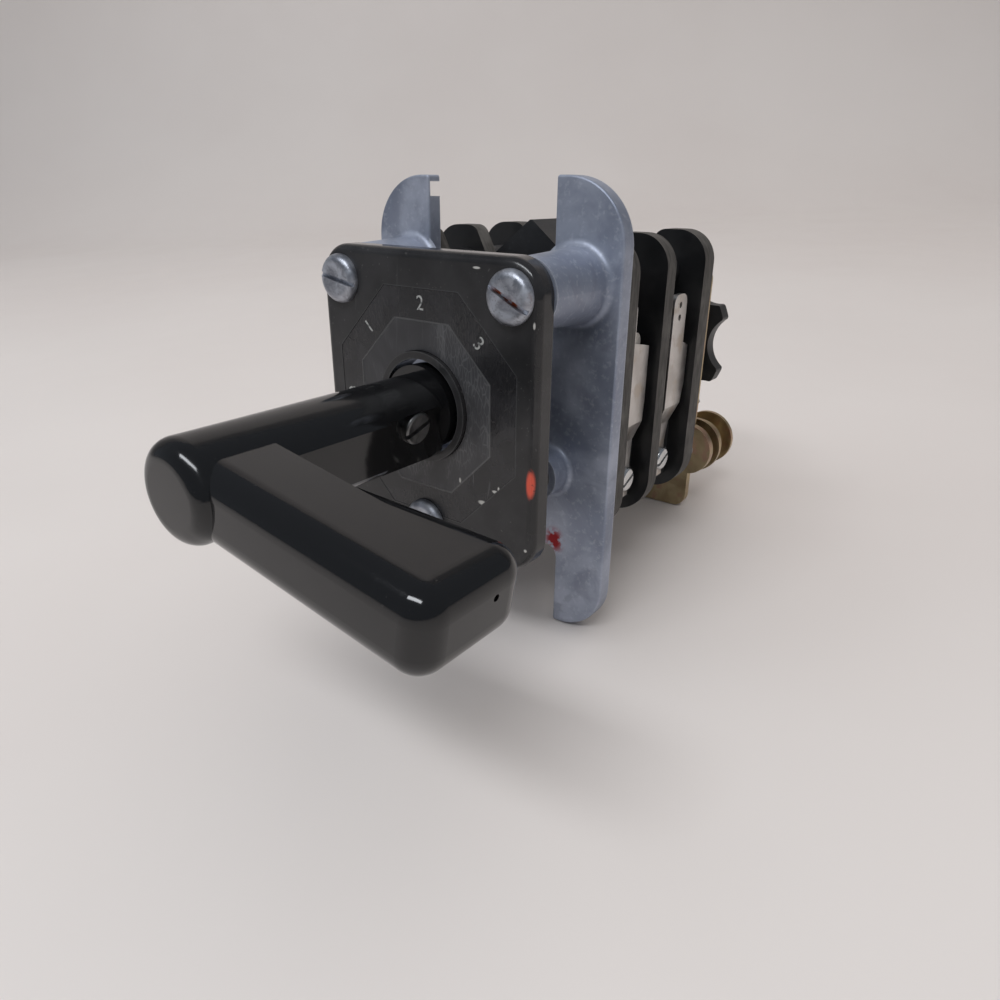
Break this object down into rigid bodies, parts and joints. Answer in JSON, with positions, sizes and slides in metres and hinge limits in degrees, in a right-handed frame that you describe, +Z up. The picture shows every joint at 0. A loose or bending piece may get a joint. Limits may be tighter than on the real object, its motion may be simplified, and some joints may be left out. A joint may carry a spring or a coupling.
{
  "type": "rotary cam control switch",
  "caption": "Panel-mounted rotary cam control switch with a pistol-grip handle, square escutcheon with a dial, cast frame, insulating barriers and a rear star-wheel detent.",
  "frame": {"origin": "where the shaft axis crosses the back face of the escutcheon, which is the face that sits on the panel", "axes": "+Y along the shaft from the handle to the rear detent, +X to the right as the dial is read, +Z up"},
  "size_m": [0.0881, 0.179, 0.1044],
  "materials": {
    "black_moulding_gloss": "black moulding with a polished rim",
    "dial_grey": "worn dark grey dial",
    "worn_steel": "plated steel, worn, rust in the slots",
    "cast_zinc": "mottled blue-grey die-cast zinc",
    "bush_brass": "plain turned brass",
    "barrier_laminate": "black laminate with brown-grey sawn edges",
    "black_moulding_satin": "satin black moulding",
    "bright_steel": "bright steel",
    "bright_screw": "bright nickel plated",
    "insulating_tube": "brown phenolic",
    "cam_moulding": "dark brown phenolic",
    "handle_phenolic": "polished black phenolic",
    "silver_contact": "silver contact alloy",
    "spring_bronze": "phosphor bronze",
    "yellow_passivated_steel": "yellow passivated steel",
    "nickel_plate": "dull nickel plate on brass",
    "spring_steel": "coiled steel wire"
  },
  "bodies": {
    "switch_frame": {"arm_pivot_pins": "bright_steel", "detent_pivot_bush": "yellow_passivated_steel", "detent_pivot_screw": "bright_steel", "detent_spring": "spring_steel", "dial_plate": "dial_grey", "escutcheon": "black_moulding_gloss", "front_bush": "bush_brass", "front_frame": "cast_zinc", "front_insulating_plate": "barrier_laminate", "long_tie_bolts": "bright_steel", "middle_barrier": "barrier_laminate", "mounting_screws": "worn_steel", "rear_barrier": "barrier_laminate", "rear_bush": "bush_brass", "rear_housing": "black_moulding_satin", "rear_plate": "yellow_passivated_steel", "rear_plate_screws": "bright_steel", "short_tie_bolts": "bright_steel", "spring_post": "bright_steel", "stage_1_arm_stops": "spring_bronze", "stage_1_fixed_contacts": "silver_contact", "stage_1_left_terminal_strap": "nickel_plate", "stage_1_right_terminal_strap": "nickel_plate", "stage_1_spacers": "insulating_tube", "stage_1_terminal_blocks": "black_moulding_satin", "stage_1_terminal_screws": "bright_screw", "stage_2_arm_stops": "spring_bronze", "stage_2_fixed_contacts": "silver_contact", "stage_2_left_terminal_strap": "nickel_plate", "stage_2_right_terminal_strap": "nickel_plate", "stage_2_spacers": "insulating_tube", "stage_2_terminal_blocks": "black_moulding_satin", "stage_2_terminal_screws": "bright_screw", "tie_nuts": "bright_steel", "top_insulator": "black_moulding_satin"},
    "rotor": {"handle": "handle_phenolic", "handle_insert": "bush_brass", "handle_set_screw": "worn_steel", "cam_shaft": "bright_steel", "stage_1_cam": "cam_moulding", "stage_2_cam": "cam_moulding", "shaft_sleeves": "insulating_tube", "detent_wheel": "black_moulding_satin", "shaft_washer": "bright_steel", "shaft_nut": "bright_steel"},
    "stage_1_left_contact": {"stage_1_left_contact_arm": "spring_bronze", "stage_1_left_follower": "insulating_tube", "stage_1_left_moving_contact": "silver_contact"},
    "stage_1_right_contact": {"stage_1_right_contact_arm": "spring_bronze", "stage_1_right_follower": "insulating_tube", "stage_1_right_moving_contact": "silver_contact"},
    "stage_2_left_contact": {"stage_2_left_contact_arm": "spring_bronze", "stage_2_left_follower": "insulating_tube", "stage_2_left_moving_contact": "silver_contact"},
    "stage_2_right_contact": {"stage_2_right_contact_arm": "spring_bronze", "stage_2_right_follower": "insulating_tube", "stage_2_right_moving_contact": "silver_contact"},
    "detent_lever": {"detent_arm": "yellow_passivated_steel", "roller_pin": "bright_steel"},
    "roller": {"detent_roller": "bright_steel"}
  },
  "joints": [
    {"name": "handle_turn", "type": "hinge", "parent": "switch_frame", "child": "rotor", "pos_m": [0, 0, 0], "axis": [0, 1, 0], "range_deg": [0, 135]},
    {"name": "stage_1_left_contact_tilt", "type": "hinge", "parent": "switch_frame", "child": "stage_1_left_contact", "pos_m": [-0.022, 0.0328, -0.009], "axis": [0, -1, 0], "range_deg": [0, 7.7]},
    {"name": "stage_1_right_contact_tilt", "type": "hinge", "parent": "switch_frame", "child": "stage_1_right_contact", "pos_m": [0.022, 0.0328, -0.009], "axis": [0, 1, 0], "range_deg": [0, 7.7]},
    {"name": "stage_2_left_contact_tilt", "type": "hinge", "parent": "switch_frame", "child": "stage_2_left_contact", "pos_m": [-0.022, 0.052, -0.009], "axis": [0, 1, 0], "range_deg": [0, 7.7]},
    {"name": "stage_2_right_contact_tilt", "type": "hinge", "parent": "switch_frame", "child": "stage_2_right_contact", "pos_m": [0.022, 0.052, -0.009], "axis": [0, -1, 0], "range_deg": [0, 7.7]},
    {"name": "detent_arm_lift", "type": "hinge", "parent": "switch_frame", "child": "detent_lever", "pos_m": [0.0215, 0.1012, -0.0315], "axis": [0, -1, 0], "range_deg": [0, 8], "stiffness_Nm_per_rad": 0.5, "springref_deg": -11.46, "deforming": ["detent_spring"]},
    {"name": "roller_spin", "type": "hinge", "parent": "detent_lever", "child": "roller", "pos_m": [-0.001, 0.10515, -0.0302], "axis": [0, -1, 0], "continuous": true}
  ],
  "couplings": [
    {"joint": "stage_1_left_contact_tilt", "follows": "handle_turn", "ratio": 0.057},
    {"joint": "stage_1_right_contact_tilt", "follows": "handle_turn", "ratio": 0.057},
    {"joint": "stage_2_left_contact_tilt", "follows": "handle_turn", "ratio": 0.057},
    {"joint": "stage_2_right_contact_tilt", "follows": "handle_turn", "ratio": 0.057}
  ]
}
